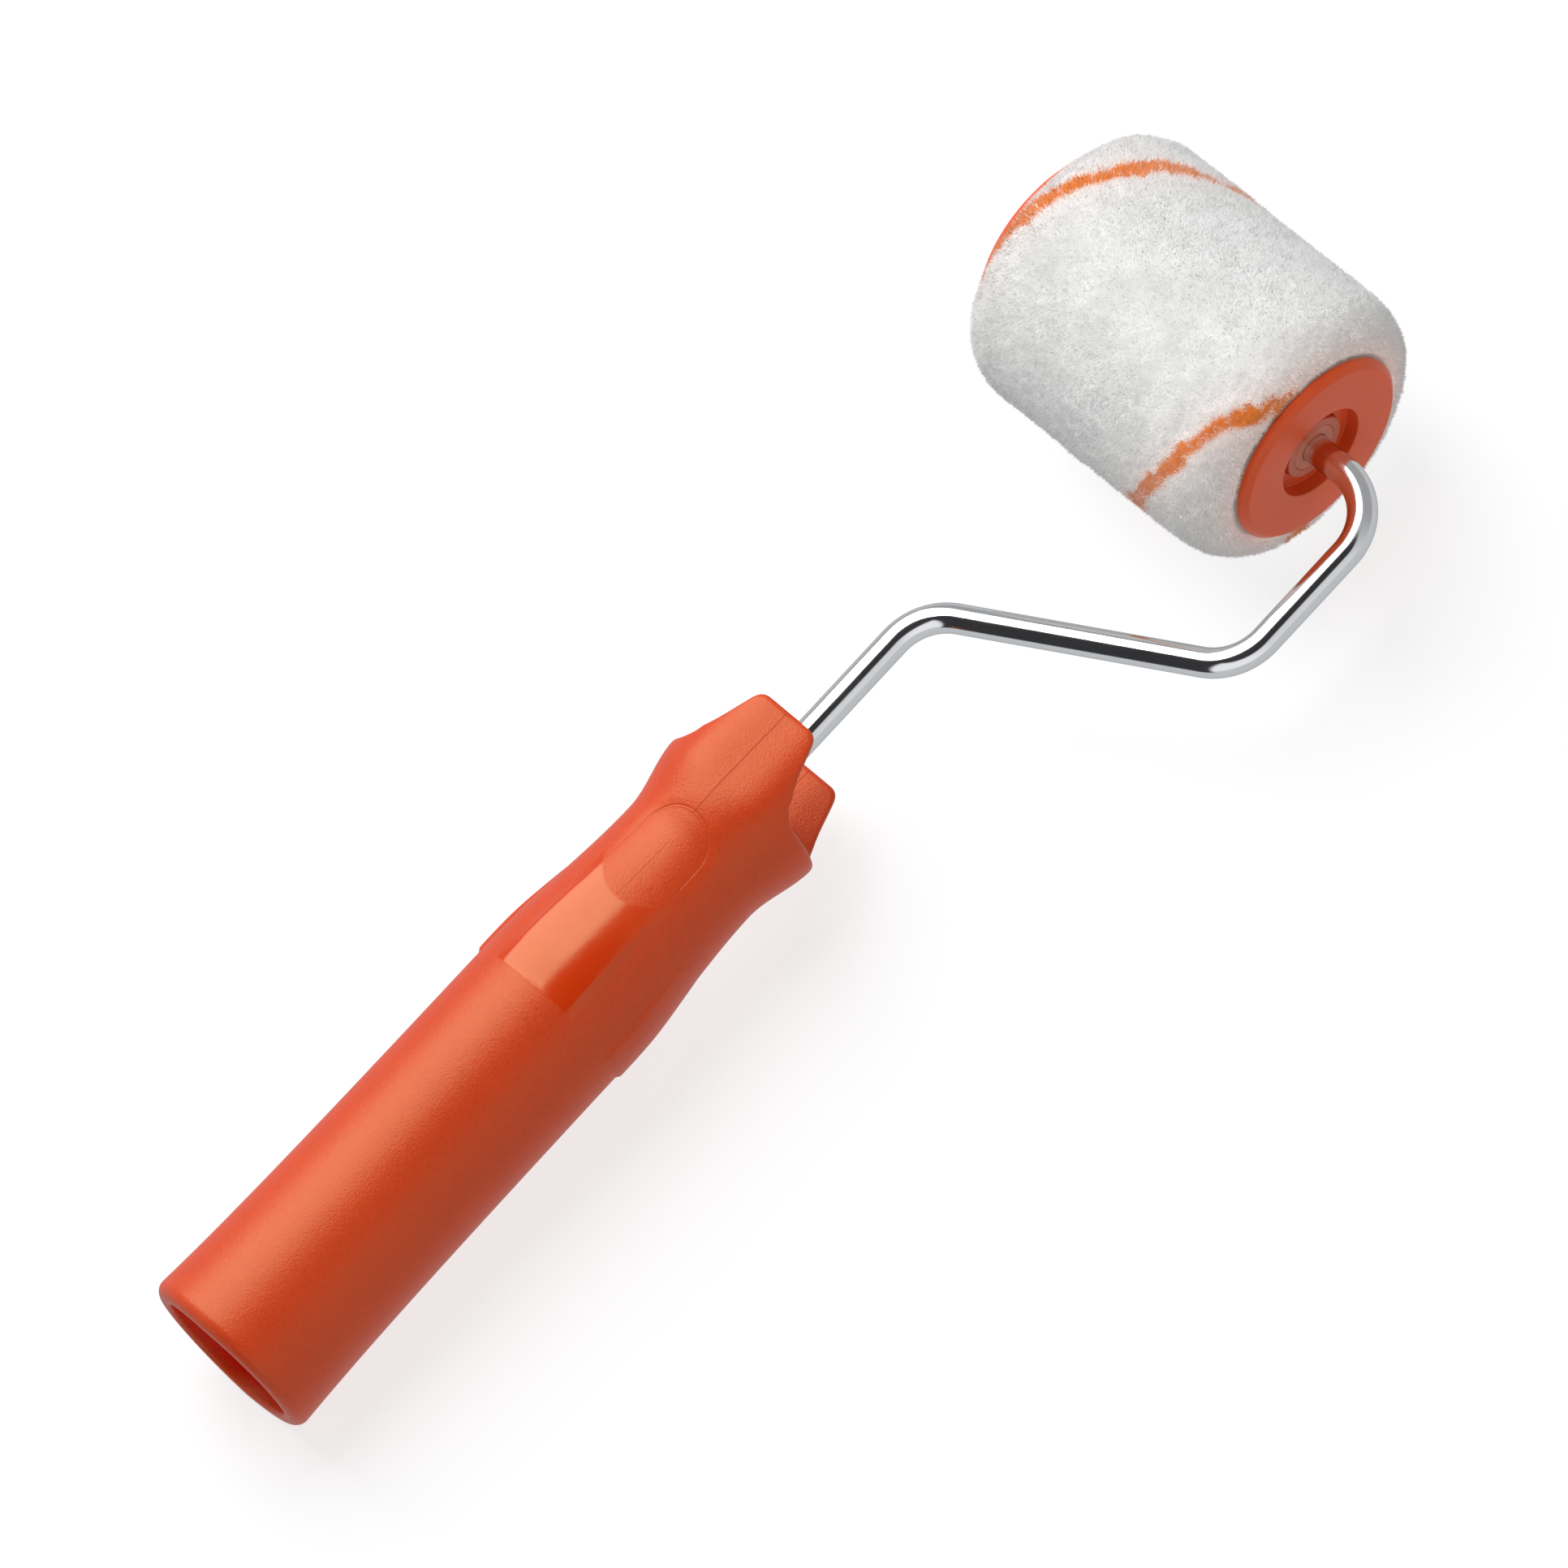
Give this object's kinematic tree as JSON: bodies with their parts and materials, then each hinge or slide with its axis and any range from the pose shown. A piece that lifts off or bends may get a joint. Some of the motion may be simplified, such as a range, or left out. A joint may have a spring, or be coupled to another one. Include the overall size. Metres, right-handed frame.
{
  "type": "paint roller",
  "caption": "Small paint roller: hollow pole-socket handle with grip pads, bent wire rod, free-turning bearing sleeve and a pull-off napped cover with flanged end caps.",
  "frame": {"origin": "centre of the pole socket's mouth at the butt of the handle", "axes": "+Y along the handle towards the roller, +X along the roller axis towards the rod's outer leg, +Z square to both; handle axis and roller axis both lie in Z = 0"},
  "size_m": [0.0963, 0.299, 0.06],
  "materials": {
    "handle": "orange moulded plastic, fine matte grain on the grip, glossier on the lower part of the pads",
    "rod": "bright plated steel wire",
    "stop_collar": "dark bronzed ring",
    "end_washer": "plain pressed steel",
    "push_nut": "spring steel",
    "bearing_sleeve": "smooth moulded plastic",
    "near_bush": "smooth moulded plastic, paler",
    "far_bush": "smooth moulded plastic, paler",
    "core_tube": "plain extruded tube",
    "near_end_cap": "satin moulded plastic",
    "far_end_cap": "satin moulded plastic",
    "nap_backing": "woven backing",
    "nap_pile": "dense off-white pile with one orange marker yarn"
  },
  "bodies": {
    "frame": {"handle": "handle", "rod": "rod", "stop_collar": "stop_collar", "end_washer": "end_washer", "push_nut": "push_nut"},
    "spindle": {"bearing_sleeve": "bearing_sleeve", "near_bush": "near_bush", "far_bush": "far_bush"},
    "cover": {"core_tube": "core_tube", "near_end_cap": "near_end_cap", "far_end_cap": "far_end_cap", "nap_backing": "nap_backing", "nap_pile": "nap_pile"}
  },
  "joints": [
    {"name": "roller_spin", "type": "hinge", "parent": "frame", "child": "spindle", "pos_m": [0, 0.269, 0], "axis": [1, 0, 0], "continuous": true},
    {"name": "cover_pull", "type": "slide", "parent": "spindle", "child": "cover", "axis": [-1, 0, 0], "range_m": [0, 0.085]}
  ]
}
